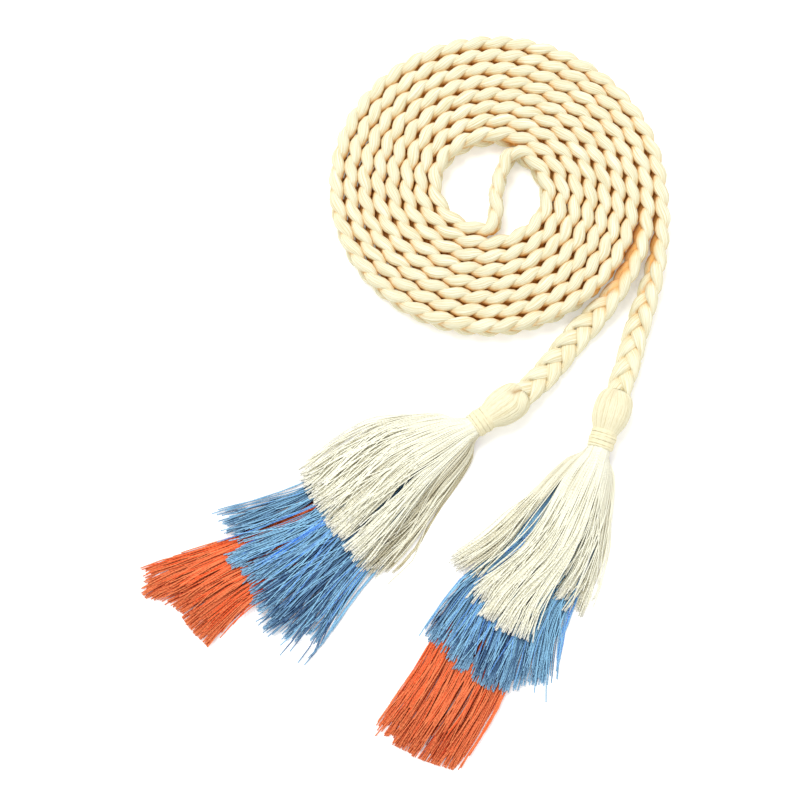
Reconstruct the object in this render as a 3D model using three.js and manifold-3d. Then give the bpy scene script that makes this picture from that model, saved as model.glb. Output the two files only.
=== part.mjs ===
import * as THREE from 'three';
import { mergeVertices } from 'three/addons/utils/BufferGeometryUtils.js';
import Module from 'manifold-3d';

// A rope belt: a flat three-strand braid, doubled at its middle and wound in a flat double spiral,
// with a three-tier tassel at each end. It lies on a table.
// Millimetres, +Z up. The origin is the middle of the belt, on the table under the braid.

const wasm = await Module();
wasm.setup();

// Braid
const BRAID_WIDTH = 7;
const BRAID_THICKNESS = 3.3;
const BRAID_CORNER = 0.6; // where the rounding of the flat oval starts, as a share of each half size

// Coil: the braid stands on edge, and each half turn lies one pitch further out
const COIL_CLEARANCE = 0.32;
const COIL_PITCH = BRAID_THICKNESS + COIL_CLEARANCE;
const COIL_CENTRE_X = -1.5;
const COIL_INNER_ACROSS = 29.4; // between the two inner turns, left to right
const COIL_INNER_DOWN = 26.2; // and front to back
const LEFT_HALF_TURNS = 7;
const RIGHT_HALF_TURNS = 8;
const STATIONS_PER_HALF_TURN = 12;

// Pieces that touch keep this much air
const SEAT_GAP = 0.3;

// Points closer than this are one point
const WELD = 1e-4;

// Tassel head and neck
const HEAD_DIAMETER = 9.5;
const HEAD_LENGTH = 10.3;
const HEAD_SIDES = 16;
const SOCKET_DEPTH = 3; // how far the braid goes into the head
const BINDING_LENGTH = 5.2;
const BINDING_DIAMETER = 7.6;
const BINDING_WALL = 0.75;
const BINDING_WRAPS = 6;
const BINDING_GROOVE = 0.3; // depth of the groove between two wraps, as a share of that wall

// Profile of the head: shares of its length, and of its radius
const HEAD_PROFILE = [
  { along: 0, radius: 0.5 },
  { along: 0.06, radius: 0.72 },
  { along: 0.18, radius: 0.9 },
  { along: 0.36, radius: 0.99 },
  { along: 0.5, radius: 1 },
  { along: 0.68, radius: 0.97 },
  { along: 0.84, radius: 0.88 },
  { along: 0.95, radius: 0.76 },
];

// Tassel tiers, measured from the middle of the binding
const CREAM_DROP = 46;
const BLUE_DROP = 69;
const ORANGE_DROP = 89;
const LAYER_GAP = 0.4; // between one tier and the next one under it
const NECK_FLANGE = 0.6; // how far the neck runs on into the skirt
const LOCK_ROOT = 2; // how far a lock reaches into the part of its tier that is whole
const LOCK_INSET = 0.12; // and how much thinner it starts there, above and below
const LOCK_EDGE = 0.012; // and how far in from that part's sides, as a share of its width
const LOCK_CROWN = 0.3; // how much lower a lock's sides are than its middle, as a share of its wall
const TIER_COLUMNS = 8; // facets across a tier
const LOCK_COLUMNS = 4; // and across a lock

// Heights of the whole bundle of threads over the table, as shares of the head's diameter
const BUNDLE_HEIGHT = [
  { at: 0.03, height: 0.85 },
  { at: 0.1, height: 0.9 },
  { at: 0.23, height: 0.81 },
  { at: 0.36, height: 0.68 },
  { at: 0.52, height: 0.57 },
  { at: 0.78, height: 0.45 },
  { at: 1, height: 0.38 },
];
const BUNDLE_ROUND = 0.75; // how much of that height is lost between the middle and the sides

// Tiers: the height and width under each, as shares of the bundle's height and half width
const UNDER_CREAM = { height: 0.83, width: 0.8 };
const UNDER_BLUE = { height: 0.58, width: 0.6 };

// Outline of each bundle of threads. 'at' is a share of the orange drop, and 'half' and 'middle' are
// the half width and how far its middle lies to the left of the axis, as shares of the same drop.
// A tier's locks go from its right side, 0, to its left side, 1, and end at a share of its drop.
const TASSELS = [
  {
    side: 'left',
    heading: 213,
    outline: [
      { at: 0.03, half: 0.042, middle: 0 },
      { at: 0.1, half: 0.093, middle: -0.008 },
      { at: 0.23, half: 0.148, middle: -0.011 },
      { at: 0.36, half: 0.18, middle: 0.008 },
      { at: 0.52, half: 0.194, middle: 0.033 },
      { at: 0.78, half: 0.281, middle: 0.043 },
      { at: 1, half: 0.303, middle: 0.011 },
    ],
    cream: {
      split: 0.46,
      sides: [{ at: 0, right: -1, left: 1 }, { at: 1, right: -1, left: 1 }],
      locks: [
        { from: 0, to: 0.19, right: 0.97, left: 1.01 },
        { from: 0.21, to: 0.4, right: 0.99, left: 1.01 },
        { from: 0.42, to: 0.6, right: 1.01, left: 0.98 },
        { from: 0.62, to: 0.8, right: 0.99, left: 0.95 },
        { from: 0.82, to: 1, right: 0.97, left: 0.84 },
      ],
    },
    blue: {
      split: 0.6,
      sides: [
        { at: 0, right: -0.74, left: 0.74 },
        { at: 0.65, right: -0.76, left: 0.76 },
        { at: 1, right: -0.78, left: 0.78 },
      ],
      locks: [
        { from: 0, to: 0.13, right: 0.97, left: 0.94 },
        { from: 0.18, to: 0.34, right: 1.04, left: 1.03 },
        { from: 0.36, to: 0.5, right: 1.02, left: 1 },
        { from: 0.52, to: 0.66, right: 1.02, left: 1.05 },
        { from: 0.68, to: 0.84, right: 1.07, left: 1 },
        { from: 0.86, to: 1, right: 0.97, left: 0.92 },
      ],
    },
    orange: {
      split: 0.66,
      sides: [
        { at: 0, right: -0.5, left: 0.5 },
        { at: 0.5, right: -0.54, left: 0.4 },
        { at: 1, right: -0.59, left: 0.33 },
      ],
      locks: [
        { from: 0, to: 0.19, right: 1, left: 1.05 },
        { from: 0.21, to: 0.4, right: 1.05, left: 1.01 },
        { from: 0.42, to: 0.6, right: 1, left: 0.98 },
        { from: 0.62, to: 0.8, right: 0.99, left: 0.985 },
        { from: 0.82, to: 1, right: 0.985, left: 0.97 },
      ],
    },
  },
  {
    side: 'right',
    heading: 250,
    outline: [
      { at: 0.03, half: 0.042, middle: 0 },
      { at: 0.1, half: 0.081, middle: -0.006 },
      { at: 0.23, half: 0.125, middle: -0.024 },
      { at: 0.36, half: 0.158, middle: -0.053 },
      { at: 0.52, half: 0.207, middle: -0.112 },
      { at: 0.78, half: 0.247, middle: -0.134 },
      { at: 1, half: 0.247, middle: -0.185 },
    ],
    cream: {
      split: 0.46,
      sides: [{ at: 0, right: -1, left: 1 }, { at: 1, right: -1, left: 1 }],
      locks: [
        { from: 0, to: 0.17, right: 0.86, left: 0.94 },
        { from: 0.24, to: 0.42, right: 1.01, left: 1.1 },
        { from: 0.44, to: 0.58, right: 1.11, left: 1.13 },
        { from: 0.6, to: 0.72, right: 1.16, left: 1.15 },
        { from: 0.76, to: 1, right: 0.84, left: 0.94 },
      ],
    },
    blue: {
      split: 0.6,
      sides: [
        { at: 0, right: -0.74, left: 0.74 },
        { at: 0.65, right: -0.58, left: 0.76 },
        { at: 1, right: -0.68, left: 0.74 },
      ],
      locks: [
        { from: 0, to: 0.2, right: 0.865, left: 0.91 },
        { from: 0.22, to: 0.42, right: 0.92, left: 0.955 },
        { from: 0.44, to: 0.6, right: 0.96, left: 0.975 },
        { from: 0.62, to: 0.8, right: 0.965, left: 0.94 },
        { from: 0.82, to: 1, right: 0.92, left: 0.87 },
      ],
    },
    orange: {
      split: 0.66,
      sides: [
        { at: 0, right: -0.5, left: 0.5 },
        { at: 0.7, right: -0.54, left: 0.36 },
        { at: 1, right: -0.57, left: 0.36 },
      ],
      locks: [
        { from: 0, to: 0.24, right: 0.945, left: 0.975 },
        { from: 0.26, to: 0.5, right: 0.98, left: 0.985 },
        { from: 0.52, to: 0.76, right: 0.99, left: 0.99 },
        { from: 0.78, to: 1, right: 0.99, left: 0.985 },
      ],
    },
  },
];

// Bar: the middle of the belt crosses the coil, from the left arm's start to the right arm's.
// Points chosen by hand, x and y.
const BAR_ROUTE = [
  [-14.7, -4.8],
  [-11.4, -8.7],
  [-6.9, -10.9],
  [-3.2, -11],
  [-0.9, -9.2],
  [-0.3, -5.6],
  [0, 0],
  [1.3, 4.6],
  [3, 8.6],
  [5.6, 10.2],
  [8.7, 8.5],
  [11.6, 4.8],
];

// Tails: from where each arm leaves the coil to the head of its tassel. Points chosen by hand:
// x and y from the arm's end, how far the braid has rolled off its edge in degrees, how much of the
// way up to the head's axis it has climbed, and its width as a share of the full width.
const LEFT_TAIL_ROUTE = [
  [-0.1, -6.9, 4, 0, 1],
  [-2, -15, 17, 0, 1],
  [-6.1, -23.6, 30, 0, 1],
  [-10.4, -29.6, 45, 0, 1.02],
  [-14.7, -34.5, 72, 0, 1.05],
  [-18.8, -38.8, 88, 0, 1.06],
  [-22.8, -43.7, 90, 0.1, 1.05],
  [-27, -48.8, 90, 0.42, 1],
  [-30.4, -52.2, 90, 0.81, 0.93],
  [-32.5, -54.1, 90, 1, 0.88],
];
const RIGHT_TAIL_ROUTE = [
  [0.3, -8.2, 0, 0, 1],
  [-0.8, -16.3, 10, 0, 1],
  [-3.1, -25.6, 32, 0, 1],
  [-5.7, -33.5, 54, 0, 0.98],
  [-7.8, -40.1, 68, 0.1, 0.94],
  [-9.7, -46.6, 78, 0.46, 0.9],
  [-11.3, -50.5, 84, 0.77, 0.87],
  [-12.4, -53.6, 88, 1, 0.84],
];
const TAIL_STEP = 3.2; // between two sections of a tail or of the bar

// Materials
const COTTON_CREAM = new THREE.MeshStandardMaterial({ color: 0xf3e3bd, roughness: 0.9, metalness: 0 });
const THREAD_CREAM = new THREE.MeshStandardMaterial({ color: 0xf0e8cf, roughness: 0.8, metalness: 0 });
const THREAD_BLUE = new THREE.MeshStandardMaterial({ color: 0x5b9be0, roughness: 0.6, metalness: 0 });
const THREAD_ORANGE = new THREE.MeshStandardMaterial({ color: 0xee6a45, roughness: 0.6, metalness: 0 });

const AXIS_HEIGHT = HEAD_DIAMETER / 2; // of a tassel's head, which lies on the table

const belt = new THREE.Group();

// Joins and cuts

function solidOf(geometry) {
  geometry.deleteAttribute('normal');
  geometry.deleteAttribute('uv');
  const merged = mergeVertices(geometry, WELD);
  const index = merged.index.array;
  const triangles = [];
  for (let i = 0; i < index.length; i += 3) {
    const [a, b, c] = [index[i], index[i + 1], index[i + 2]];
    if (a !== b && b !== c && c !== a) triangles.push(a, b, c);
  }
  return new wasm.Manifold(new wasm.Mesh({
    numProp: 3,
    vertProperties: Float32Array.from(merged.attributes.position.array),
    triVerts: Uint32Array.from(triangles),
  }));
}

function geometryOf(solid) {
  const mesh = solid.getMesh();
  const geometry = new THREE.BufferGeometry();
  geometry.setAttribute('position', new THREE.BufferAttribute(mesh.vertProperties, 3));
  geometry.setIndex(new THREE.BufferAttribute(mesh.triVerts, 1));
  geometry.computeVertexNormals();
  return geometry;
}

function piece(name, geometry, material, parent) {
  const mesh = new THREE.Mesh(geometry, material.clone());
  mesh.name = name;
  parent.add(mesh);
  return mesh;
}

// A value from a table of rows, on a smooth curve through them
function smooth(rows, column, at) {
  const last = rows.length - 1;
  if (at <= rows[0].at) return rows[0][column];
  if (at >= rows[last].at) return rows[last][column];
  const k = rows.findIndex((row) => row.at > at) - 1;
  const slope = (i) => {
    const [a, b] = [rows[Math.max(i - 1, 0)], rows[Math.min(i + 1, last)]];
    return (b[column] - a[column]) / (b.at - a.at);
  };
  const span = rows[k + 1].at - rows[k].at;
  const t = (at - rows[k].at) / span;
  const [t2, t3] = [t * t, t * t * t];
  return (2 * t3 - 3 * t2 + 1) * rows[k][column] + (t3 - 2 * t2 + t) * span * slope(k)
    + (3 * t2 - 2 * t3) * rows[k + 1][column] + (t3 - t2) * span * slope(k + 1);
}

// Braid

// A flat oval of eight corners, thin along x and wide along y
function braidOutline(width, thickness) {
  const [w, t] = [width / 2, thickness / 2];
  const quarter = [[t, BRAID_CORNER * w], [BRAID_CORNER * t, w]];
  const half = [...quarter, ...quarter.map(([x, y]) => [-x, y]).reverse()];
  const whole = [...half, ...half.map(([x, y]) => [-x, -y])];
  return whole.map(([x, y]) => new THREE.Vector2(x, y));
}

// How far the rolled braid reaches under its own middle
function reachOf(roll, share) {
  const angle = THREE.MathUtils.degToRad(Math.abs(roll));
  const outline = braidOutline(BRAID_WIDTH * share, BRAID_THICKNESS);
  return Math.max(...outline.map((p) => p.y * Math.cos(angle) + p.x * Math.sin(angle)));
}

// One place on the course of the braid. Roll 0 stands it on its edge, and a positive roll tips its
// top edge to the left of the way that the course runs.
function place(x, y, roll = 0, rise = 0, share = 1) {
  return { centre: new THREE.Vector3(x, y, reachOf(roll, share) + rise), roll, rise, share };
}

// A point of an arm of the double spiral, h half turns from its start. The right arm is the left
// arm turned half round.
function armPoint(h, side) {
  const angle = Math.PI * (1 - h);
  const across = COIL_INNER_ACROSS / 2 + COIL_PITCH * h;
  const down = COIL_INNER_DOWN / 2 + COIL_PITCH * h;
  return [COIL_CENTRE_X + side * across * Math.cos(angle), side * down * Math.sin(angle)];
}

function arm(halfTurns, side) {
  const count = Math.round(halfTurns * STATIONS_PER_HALF_TURN);
  const h = Array.from({ length: count + 1 }, (_, i) => (i * halfTurns) / count);
  return h.map((value) => place(...armPoint(value, side)));
}

// Places at even steps on a smooth curve through a few chosen ones, without its two end places
function between(places) {
  const curve = new THREE.CatmullRomCurve3(places.map((p) => p.centre), false, 'centripetal');
  const steps = Math.round(curve.getLength() / TAIL_STEP);
  const last = places.length - 1;
  const result = [];
  for (let i = 1; i < steps; i += 1) {
    const t = curve.getUtoTmapping(i / steps) * last;
    const k = Math.min(Math.floor(t), last - 1);
    const blended = (name) => THREE.MathUtils.lerp(places[k][name], places[k + 1][name], t - k);
    const { x, y } = curve.getPointAt(i / steps);
    result.push(place(x, y, blended('roll'), blended('rise'), blended('share')));
  }
  return result;
}

// The braid swept along a stretch of its course: a straight bar of its outline, each of whose
// sections is then carried to its own place
function sweep(stretch, ways) {
  const steps = stretch.length - 1;
  const outline = new THREE.Shape(braidOutline(BRAID_WIDTH, BRAID_THICKNESS));
  const bar = new THREE.ExtrudeGeometry(outline, { depth: steps, steps, bevelEnabled: false });
  const position = bar.attributes.position;
  const up = new THREE.Vector3(0, 0, 1);
  for (let i = 0; i < position.count; i += 1) {
    const k = Math.round(position.getZ(i));
    const { centre, roll, share } = stretch[k];
    const angle = THREE.MathUtils.degToRad(roll);
    const left = new THREE.Vector3().crossVectors(up, ways[k]).normalize();
    const thin = left.clone().multiplyScalar(Math.cos(angle)).addScaledVector(up, -Math.sin(angle));
    const wide = up.clone().multiplyScalar(Math.cos(angle)).addScaledVector(left, Math.sin(angle));
    const point = centre.clone().addScaledVector(thin, position.getX(i));
    point.addScaledVector(wide, position.getY(i) * share);
    position.setXYZ(i, point.x, point.y, point.z);
  }
  return bar;
}

// The whole course, from the left tassel round the coil to the right one
const leftArm = arm(LEFT_HALF_TURNS, 1);
const rightArm = arm(RIGHT_HALF_TURNS, -1);

function heading(degrees) {
  const angle = THREE.MathUtils.degToRad(degrees);
  return new THREE.Vector3(Math.cos(angle), Math.sin(angle), 0);
}

// Places of a tail, from its route. It ends in line with the axis of its head.
function tail(armEnd, route, side) {
  const [, , lastRoll, , lastShare] = route.at(-1);
  const climb = AXIS_HEIGHT - reachOf(lastRoll, lastShare);
  return route.map(([x, y, roll, climbed, share]) => (
    place(armEnd.centre.x + x, armEnd.centre.y + y, side * roll, climbed * climb, share)));
}

// The braid's end, inside the head
function tailEnd(top, degrees) {
  const centre = top.centre.clone().addScaledVector(heading(degrees), SOCKET_DEPTH - SEAT_GAP);
  return { ...top, centre };
}

const leftPoints = tail(leftArm.at(-1), LEFT_TAIL_ROUTE, -1);
const rightPoints = tail(rightArm.at(-1), RIGHT_TAIL_ROUTE, 1);
const leftEnd = tailEnd(leftPoints.at(-1), TASSELS[0].heading);
const rightEnd = tailEnd(rightPoints.at(-1), TASSELS[1].heading);
const leftTail = [...between([leftArm.at(-1), ...leftPoints, leftEnd]), leftEnd].reverse();
const rightTail = [...between([rightArm.at(-1), ...rightPoints, rightEnd]), rightEnd];
const bar = between([leftArm[0], ...BAR_ROUTE.map(([x, y]) => place(x, y)), rightArm[0]]);
const course = [...leftTail, ...[...leftArm].reverse(), ...bar, ...rightArm, ...rightTail];

// The way that the course runs at each place
const ways = course.map((_, i) => {
  const [a, b] = [course[Math.max(i - 1, 0)], course[Math.min(i + 1, course.length - 1)]];
  return b.centre.clone().sub(a.centre).normalize();
});
ways[0] = heading(TASSELS[0].heading).negate();
ways[ways.length - 1] = heading(TASSELS[1].heading);

// A stretch of the braid, from one place of the course to another, with one end held back by the
// gap to its neighbour
function braidStretch(name, first, last, backAtStart, backAtEnd) {
  const stretch = course.slice(first, last + 1).map((p) => ({ ...p, centre: p.centre.clone() }));
  const way = ways.slice(first, last + 1);
  stretch[0].centre.addScaledVector(way[0], backAtStart);
  stretch.at(-1).centre.addScaledVector(way.at(-1), -backAtEnd);
  return piece(name, sweep(stretch, way), COTTON_CREAM, belt);
}

const coilStart = leftTail.length;
const coilEnd = coilStart + leftArm.length + bar.length + rightArm.length - 1;
braidStretch('braid_coil', coilStart, coilEnd, 0, 0);
braidStretch('braid_tail_left', 0, coilStart, 0, SEAT_GAP);
braidStretch('braid_tail_right', coilEnd, course.length - 1, SEAT_GAP, 0);

// Tassels. Each is built along +X from the middle of its binding, with the table at Z 0.

const NECK_END = BINDING_LENGTH / 2 + NECK_FLANGE;
const WAIST_RADIUS = BINDING_DIAMETER / 2 - BINDING_WALL - SEAT_GAP;

// A turned shape laid along +X, from a profile of places along and radii
function turned(profile) {
  const points = profile.map(([along, radius]) => new THREE.Vector2(radius, along));
  const geometry = new THREE.LatheGeometry(points, HEAD_SIDES, Math.PI / HEAD_SIDES);
  geometry.rotateZ(-Math.PI / 2);
  geometry.rotateX(Math.PI / HEAD_SIDES);
  geometry.translate(0, 0, AXIS_HEIGHT);
  return geometry;
}

// The rounded head over the end of the braid, and the neck under the binding
function headSolid(tailPlace) {
  const start = -BINDING_LENGTH / 2 - HEAD_LENGTH;
  const bulb = HEAD_PROFILE.map(({ along, radius }) => (
    [start + along * HEAD_LENGTH, (radius * HEAD_DIAMETER) / 2]));
  const neck = [[-BINDING_LENGTH / 2, WAIST_RADIUS], [NECK_END, WAIST_RADIUS], [NECK_END, 0]];
  const body = solidOf(turned([[start, 0], ...bulb, ...neck]));
  const clear = 2 * SEAT_GAP;
  const shape = braidOutline(BRAID_WIDTH * tailPlace.share + clear, BRAID_THICKNESS + clear);
  const slot = new THREE.ExtrudeGeometry(new THREE.Shape(shape), {
    depth: SOCKET_DEPTH + clear,
    steps: 1,
    bevelEnabled: false,
  });
  const turn = new THREE.Matrix4().makeBasis(
    new THREE.Vector3(0, 0, 1),
    new THREE.Vector3(0, -1, 0),
    new THREE.Vector3(1, 0, 0),
  );
  slot.applyMatrix4(turn);
  slot.rotateX(THREE.MathUtils.degToRad(90 - Math.abs(tailPlace.roll)));
  slot.translate(start - clear, 0, AXIS_HEIGHT);
  return body.subtract(solidOf(slot));
}

// The wound binding: a ring with one rib for each wrap
function bindingGeometry() {
  const [inner, outer] = [BINDING_DIAMETER / 2 - BINDING_WALL, BINDING_DIAMETER / 2];
  const half = BINDING_LENGTH / 2 - SEAT_GAP;
  const wrap = (2 * half) / BINDING_WRAPS;
  const groove = outer - BINDING_GROOVE * BINDING_WALL;
  const profile = [[-half, inner]];
  for (let i = 0; i < BINDING_WRAPS; i += 1) {
    const start = -half + i * wrap;
    profile.push([start, groove], [start + wrap / 2, outer]);
  }
  profile.push([half, groove], [half, inner], [-half, inner]);
  return turned(profile);
}

// Heights of the bundle over the table at a place along and across it
function bundle(tassel) {
  const column = (rows, name, x) => smooth(rows, name, x / ORANGE_DROP);
  const half = (x) => ORANGE_DROP * column(tassel.outline, 'half', x);
  const middle = (x) => ORANGE_DROP * column(tassel.outline, 'middle', x);
  const dome = (share) => (x, y) => {
    const side = (y - middle(x)) / (half(x) * share.width);
    const height = HEAD_DIAMETER * column(BUNDLE_HEIGHT, 'height', x) * share.height;
    return height * (1 - BUNDLE_ROUND * side * side);
  };
  const whole = dome({ height: 1, width: 1 });
  const underCream = dome(UNDER_CREAM);
  const underBlue = dome(UNDER_BLUE);
  return {
    half,
    middle,
    cream: { top: whole, bottom: (x, y) => Math.max(0, underCream(x, y)) },
    blue: { top: (x, y) => underCream(x, y) - LAYER_GAP, bottom: (x, y) => Math.max(0, underBlue(x, y)) },
    orange: { top: (x, y) => underBlue(x, y) - LAYER_GAP, bottom: () => 0 },
  };
}

// Sections along the bundle, shared by all its tiers so that their surfaces run side by side
const SECTION_SHARES = [0.065, 0.1, 0.165, 0.23, 0.295, 0.36, 0.44, 0.52, 0.6, 0.68, 0.78, 0.88];
const SECTIONS = [NECK_END + SEAT_GAP, ...SECTION_SHARES.map((at) => at * ORANGE_DROP)];

// A stretch of a tier between two of its streamlines: a box bent between the layers
function strip(form, layer, tier, drop, { from, to, start, ends, columns, inset, crown }) {
  const stop = Math.min(...ends) * drop;
  const along = [start, ...SECTIONS.filter((x) => x > start + SEAT_GAP && x < stop - LOCK_ROOT)];
  const rows = along.length;
  const box = new THREE.BoxGeometry(1, 1, 1, rows, columns, 1);
  const position = box.attributes.position;
  for (let i = 0; i < position.count; i += 1) {
    const row = Math.round((position.getX(i) + 0.5) * rows);
    const share = position.getY(i) + 0.5;
    const x = row < rows ? along[row] : THREE.MathUtils.lerp(ends[0], ends[1], share) * drop;
    const side = THREE.MathUtils.lerp(from, to, share);
    const right = smooth(tier.sides, 'right', x / drop);
    const left = smooth(tier.sides, 'left', x / drop);
    const y = form.middle(x) + form.half(x) * THREE.MathUtils.lerp(right, left, side);
    const bottom = layer.bottom(x, y);
    const wall = layer.top(x, y) - bottom;
    const low = bottom > 0 ? bottom + inset : 0;
    const high = bottom + wall * (1 - crown * (2 * share - 1) ** 2) - inset;
    position.setXYZ(i, x, y, position.getZ(i) > 0 ? high : low);
  }
  return solidOf(box);
}

// One tier: whole near the neck, and in locks from its split to its tips
function tierSolid(form, layer, tier, drop, start) {
  let body = strip(form, layer, tier, drop, {
    from: 0,
    to: 1,
    start,
    ends: [tier.split, tier.split],
    columns: TIER_COLUMNS,
    inset: 0,
    crown: 0,
  });
  tier.locks.forEach((lock) => {
    body = body.add(strip(form, layer, tier, drop, {
      from: Math.max(lock.from, LOCK_EDGE),
      to: Math.min(lock.to, 1 - LOCK_EDGE),
      start: tier.split * drop - LOCK_ROOT,
      ends: [lock.right, lock.left],
      columns: LOCK_COLUMNS,
      inset: LOCK_INSET,
      crown: LOCK_CROWN,
    }));
  });
  return body;
}

TASSELS.forEach((tassel) => {
  const end = tassel.side === 'left' ? leftEnd : rightEnd;
  const group = new THREE.Group();
  const reach = HEAD_LENGTH + BINDING_LENGTH / 2 - (SOCKET_DEPTH - SEAT_GAP);
  group.position.copy(end.centre).addScaledVector(heading(tassel.heading), reach).setZ(0);
  group.rotation.z = THREE.MathUtils.degToRad(tassel.heading);
  belt.add(group);

  const form = bundle(tassel);
  const skirt = tierSolid(form, form.cream, tassel.cream, CREAM_DROP, BINDING_LENGTH / 2);
  const cream = headSolid(end).add(skirt);
  piece(`${tassel.side}_tassel_cream`, geometryOf(cream), THREAD_CREAM, group);
  piece(`${tassel.side}_neck_binding`, bindingGeometry(), COTTON_CREAM, group);
  const inner = NECK_END + SEAT_GAP;
  const blue = tierSolid(form, form.blue, tassel.blue, BLUE_DROP, inner);
  piece(`${tassel.side}_blue_threads`, geometryOf(blue), THREAD_BLUE, group);
  const orange = tierSolid(form, form.orange, tassel.orange, ORANGE_DROP, inner);
  piece(`${tassel.side}_orange_threads`, geometryOf(orange), THREAD_ORANGE, group);
});

export default belt;
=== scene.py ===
# %% [markdown]
# # A braided rope belt with tassels
# The belt is one long flat plait of cream cotton. It is folded at its middle, wound flat into a double
# spiral, and each end runs out of the coil into a tassel with three tiers of thread: cream, blue and
# orange. A plain solid model of it is loaded first, as a frame that gives every place and size. Each
# piece here is then built around that frame with the detail that the plain solids leave out: plaited
# strands, loose threads and wound bindings.

# %% Load the frame
import math

import bmesh
import bpy
import numpy as np
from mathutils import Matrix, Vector


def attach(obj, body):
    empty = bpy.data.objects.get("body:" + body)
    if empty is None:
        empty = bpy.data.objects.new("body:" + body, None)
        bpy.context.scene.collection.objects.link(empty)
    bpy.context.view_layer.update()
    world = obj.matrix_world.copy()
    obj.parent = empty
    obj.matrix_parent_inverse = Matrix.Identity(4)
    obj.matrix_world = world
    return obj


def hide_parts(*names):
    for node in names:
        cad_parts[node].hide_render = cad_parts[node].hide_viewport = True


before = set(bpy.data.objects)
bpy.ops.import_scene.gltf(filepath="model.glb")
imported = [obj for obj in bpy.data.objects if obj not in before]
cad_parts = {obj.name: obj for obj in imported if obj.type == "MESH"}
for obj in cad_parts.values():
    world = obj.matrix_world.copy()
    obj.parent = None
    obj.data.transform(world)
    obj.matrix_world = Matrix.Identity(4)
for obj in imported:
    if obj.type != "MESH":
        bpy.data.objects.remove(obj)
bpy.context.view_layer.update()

MM = 0.001
print("nodes of the frame:", ", ".join(sorted(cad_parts)))

# %% [markdown]
# ## Camera
# The belt is looked at from almost straight above, from the side where the tassels lie. A long lens
# keeps the coil close to round. The camera stands on a line that leans back from its target by the
# angle of view, so one angle and one distance place it.

# %% Camera
VIEW_ELEVATION = math.radians(78.8)
VIEW_DISTANCE = 339 * MM
VIEW_TARGET = Vector((-25.1, -54.8, 0)) * MM
FOCAL_LENGTH, SENSOR_WIDTH = 60, 36

lens = bpy.data.cameras.new("camera")
lens.lens = FOCAL_LENGTH
lens.sensor_width = SENSOR_WIDTH
lens.clip_start = 10 * MM
camera = bpy.data.objects.new("camera", lens)
bpy.context.scene.collection.objects.link(camera)
back = Vector((0, -math.cos(VIEW_ELEVATION), math.sin(VIEW_ELEVATION)))
camera.location = VIEW_TARGET + back * VIEW_DISTANCE
camera.rotation_euler = (math.pi / 2 - VIEW_ELEVATION, 0, 0)
bpy.context.scene.camera = camera
print("camera at", [round(v / MM) for v in camera.location], "mm")

# %% [markdown]
# ## The course of the braid
# The real braid is one cord of about a metre and a half. Its course is made of five parts: the tail of
# the left tassel, the left arm of the spiral, the bar that crosses the middle, the right arm and the
# right tail. The arms follow from a rule, because each half turn lies one braid thickness further out.
# The tails and the bar are points given one by one. The braid stands on its edge in the coil and rolls
# over on to its flat side in the tails, so each place also says how far it has rolled.

# %% Sizes of the braid and the coil
BRAID_WIDTH = 7 * MM
BRAID_THICKNESS = 3.3 * MM
COIL_PITCH = 3.62 * MM
COIL_CENTRE_X = -1.5 * MM
COIL_INNER = (14.7 * MM, 13.1 * MM)  # half the width and height of the coil's open middle
HALF_TURNS = {"left": 7, "right": 8}
POINTS_PER_HALF_TURN = 24

# %% Sizes at the ends of the braid
HEAD_RADIUS = 4.75 * MM
HEAD_LENGTH = 10.3 * MM
BINDING_LENGTH = 5.2 * MM
SOCKET = 2.7 * MM  # how far the end of the braid reaches into a head

# %% Points given one by one, in millimetres
BAR_ROUTE = np.array([
    (-14.7, -4.8), (-11.4, -8.7), (-6.9, -10.9), (-3.2, -11), (-0.9, -9.2), (-0.3, -5.6),
    (0, 0), (1.3, 4.6), (3, 8.6), (5.6, 10.2), (8.7, 8.5), (11.6, 4.8),
]) * MM

# Tails: x and y from the end of the arm, the roll in degrees, how much of the way up to the head's
# axis the braid has climbed, and its width as a share of the full one
LEFT_TAIL_ROUTE = np.array([
    (-0.1, -6.9, 4, 0, 1), (-2, -15, 17, 0, 1), (-6.1, -23.6, 30, 0, 1), (-10.4, -29.6, 45, 0, 1.02),
    (-14.7, -34.5, 72, 0, 1.05), (-18.8, -38.8, 88, 0, 1.06), (-22.8, -43.7, 90, 0.1, 1.05),
    (-27, -48.8, 90, 0.42, 1), (-30.4, -52.2, 90, 0.81, 0.93), (-32.5, -54.1, 90, 1, 0.88),
])
RIGHT_TAIL_ROUTE = np.array([
    (0.3, -8.2, 0, 0, 1), (-0.8, -16.3, 10, 0, 1), (-3.1, -25.6, 32, 0, 1), (-5.7, -33.5, 54, 0, 0.98),
    (-7.8, -40.1, 68, 0.1, 0.94), (-9.7, -46.6, 78, 0.46, 0.9), (-11.3, -50.5, 84, 0.77, 0.87),
    (-12.4, -53.6, 88, 1, 0.84),
])
HEADINGS = {"left": math.radians(213), "right": math.radians(250)}
print("points by hand:", len(BAR_ROUTE) + len(LEFT_TAIL_ROUTE) + len(RIGHT_TAIL_ROUTE))


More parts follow.
